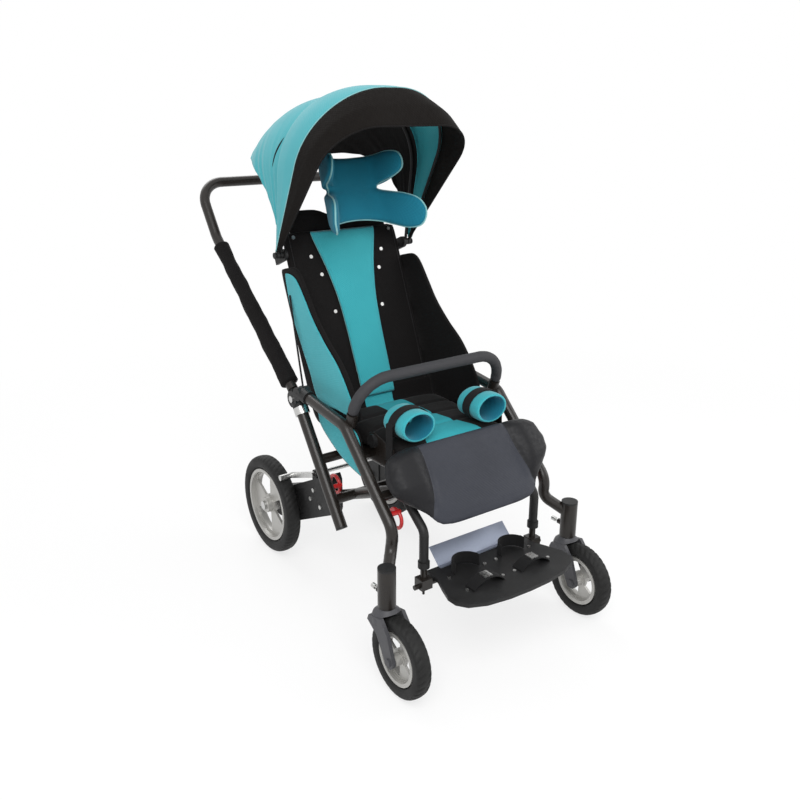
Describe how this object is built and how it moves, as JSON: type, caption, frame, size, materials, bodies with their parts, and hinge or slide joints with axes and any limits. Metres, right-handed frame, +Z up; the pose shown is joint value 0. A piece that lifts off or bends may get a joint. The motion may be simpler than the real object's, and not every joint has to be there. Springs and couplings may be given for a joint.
{
  "type": "special needs buggy",
  "caption": "Folding special needs buggy with swivel casters, reclining back, lateral wings, headrest, canopy, thigh cuffs, calf apron, bumper bar and strapped footplate.",
  "frame": {"origin": "on the floor, under the middle of the bounding box", "axes": "+X to the rider's left, -Y the way the rider faces, +Z up"},
  "size_m": [0.648, 1.1822, 1.2975],
  "materials": {
    "frame_paint": "semi-gloss",
    "black_plastic": "matte",
    "fork_grey": "satin",
    "steel": "brushed",
    "red_paint": "gloss",
    "black_fabric": "woven",
    "slate_fabric": "woven",
    "teal_fabric": "woven",
    "webbing": "woven",
    "grip_foam": "matte",
    "plate_metal": "satin",
    "tyre": "matte",
    "rim_silver": "satin"
  },
  "bodies": {
    "chassis": {"side_frame_left": "frame_paint", "side_frame_right": "frame_paint", "lower_push_tubes": "frame_paint", "tube_plugs": "black_plastic", "fold_brackets": "black_plastic", "crossbars": "frame_paint", "base_frame": "frame_paint", "wheel_carriers": "black_plastic", "chassis_bolts": "steel", "tie_down_loops": "red_paint", "rear_axles": "steel", "steerer_bearings": "steel", "hanger_sockets": "frame_paint", "seat_frame": "frame_paint", "seat_cushion": "teal_fabric", "calf_apron": "slate_fabric", "hip_guards": "teal_fabric", "thigh_cuffs": "teal_fabric", "cuff_bands": "webbing", "cuff_knobs": "black_plastic", "recline_straps": "webbing"},
    "backrest": {"back_frame": "frame_paint", "back_pad": "black_fabric", "back_strip": "teal_fabric", "back_rivets": "steel", "wing_left": "black_fabric", "wing_right": "black_fabric", "wing_leaves": "teal_fabric", "canopy_clamps": "black_plastic", "canopy_mid_hoop": "frame_paint", "canopy_rear_cover": "teal_fabric"},
    "canopy_front": {"canopy_front_hoop": "frame_paint", "canopy_front_cover": "teal_fabric", "canopy_visor": "black_fabric"},
    "headrest": {"headrest_post": "frame_paint", "headrest_pad": "teal_fabric"},
    "handle": {"push_handle": "frame_paint", "handle_sleeves": "black_fabric"},
    "collar_left": {"lock_collar_left": "steel"},
    "collar_right": {"lock_collar_right": "steel"},
    "bumper": {"bumper_tube": "frame_paint", "bumper_foam": "grip_foam"},
    "footrest": {"footrest_hangers": "frame_paint"},
    "foot_board": {"footplate": "black_plastic", "heel_plate": "plate_metal", "foot_straps": "webbing", "strap_buckles": "steel"},
    "caster_left": {"caster_fork_left": "fork_grey"},
    "caster_right": {"caster_fork_right": "fork_grey"},
    "caster_wheel_left": {"caster_tyre_left": "tyre", "caster_rim_left": "rim_silver"},
    "caster_wheel_right": {"caster_tyre_right": "tyre", "caster_rim_right": "rim_silver"},
    "rear_wheel_left": {"rear_tyre_left": "tyre", "rear_rim_left": "rim_silver"},
    "rear_wheel_right": {"rear_tyre_right": "tyre", "rear_rim_right": "rim_silver"},
    "brake": {"brake_bar": "steel"},
    "plunger_left": {"lock_plunger_left": "steel"},
    "plunger_right": {"lock_plunger_right": "steel"}
  },
  "joints": [
    {"name": "rear_wheel_left_spin", "type": "hinge", "parent": "chassis", "child": "rear_wheel_left", "pos_m": [0.206, 0.287, 0.145], "axis": [1, 0, 0], "continuous": true},
    {"name": "caster_left_swivel", "type": "hinge", "parent": "chassis", "child": "caster_left", "pos_m": [0.286, -0.428, 0.2], "axis": [0, 0, 1], "continuous": true},
    {"name": "caster_wheel_left_spin", "type": "hinge", "parent": "caster_left", "child": "caster_wheel_left", "pos_m": [0.286, -0.482, 0.095], "axis": [1, 0, 0], "continuous": true},
    {"name": "collar_left_slide", "type": "slide", "parent": "chassis", "child": "collar_left", "axis": [0, -0.5791, -0.8153], "range_m": [0, 0.012], "stiffness_N_per_m": 300},
    {"name": "plunger_left_pull", "type": "slide", "parent": "chassis", "child": "plunger_left", "axis": [0, 1, 0], "range_m": [0, 0.008], "stiffness_N_per_m": 400},
    {"name": "rear_wheel_right_spin", "type": "hinge", "parent": "chassis", "child": "rear_wheel_right", "pos_m": [-0.206, 0.287, 0.145], "axis": [1, 0, 0], "continuous": true},
    {"name": "caster_right_swivel", "type": "hinge", "parent": "chassis", "child": "caster_right", "pos_m": [-0.286, -0.428, 0.2], "axis": [0, 0, 1], "continuous": true},
    {"name": "caster_wheel_right_spin", "type": "hinge", "parent": "caster_right", "child": "caster_wheel_right", "pos_m": [-0.286, -0.482, 0.095], "axis": [1, 0, 0], "continuous": true},
    {"name": "collar_right_slide", "type": "slide", "parent": "chassis", "child": "collar_right", "axis": [0, -0.5791, -0.8153], "range_m": [0, 0.012], "stiffness_N_per_m": 300},
    {"name": "plunger_right_pull", "type": "slide", "parent": "chassis", "child": "plunger_right", "axis": [0, 1, 0], "range_m": [0, 0.008], "stiffness_N_per_m": 400},
    {"name": "handle_fold", "type": "hinge", "parent": "chassis", "child": "handle", "pos_m": [0, 0.041, 0.55], "axis": [-1, 0, 0], "range_deg": [0, 70]},
    {"name": "back_recline", "type": "hinge", "parent": "chassis", "child": "backrest", "pos_m": [0, 0.042, 0.465], "axis": [1, 0, 0], "range_deg": [-5, 15]},
    {"name": "headrest_height", "type": "slide", "parent": "backrest", "child": "headrest", "axis": [0, 0.3746, 0.9272], "range_m": [-0.015, 0.06]},
    {"name": "canopy_fold", "type": "hinge", "parent": "backrest", "child": "canopy_front", "pos_m": [0, 0.173, 0.89301], "axis": [-1, 0, 0], "range_deg": [0, 45]},
    {"name": "bumper_lift", "type": "slide", "parent": "chassis", "child": "bumper", "axis": [0, -0.3162, 0.9487], "range_m": [0, 0.03]},
    {"name": "footrest_height", "type": "slide", "parent": "chassis", "child": "footrest", "axis": [0, 0, 1], "range_m": [-0.008, 0.024]},
    {"name": "footplate_flip", "type": "hinge", "parent": "footrest", "child": "foot_board", "pos_m": [0, -0.413, 0.206], "axis": [-1, 0, 0], "range_deg": [0, 40]},
    {"name": "brake_press", "type": "hinge", "parent": "chassis", "child": "brake", "pos_m": [0, 0.067, 0.313], "axis": [-1, 0, 0], "range_deg": [0, 16]}
  ]
}
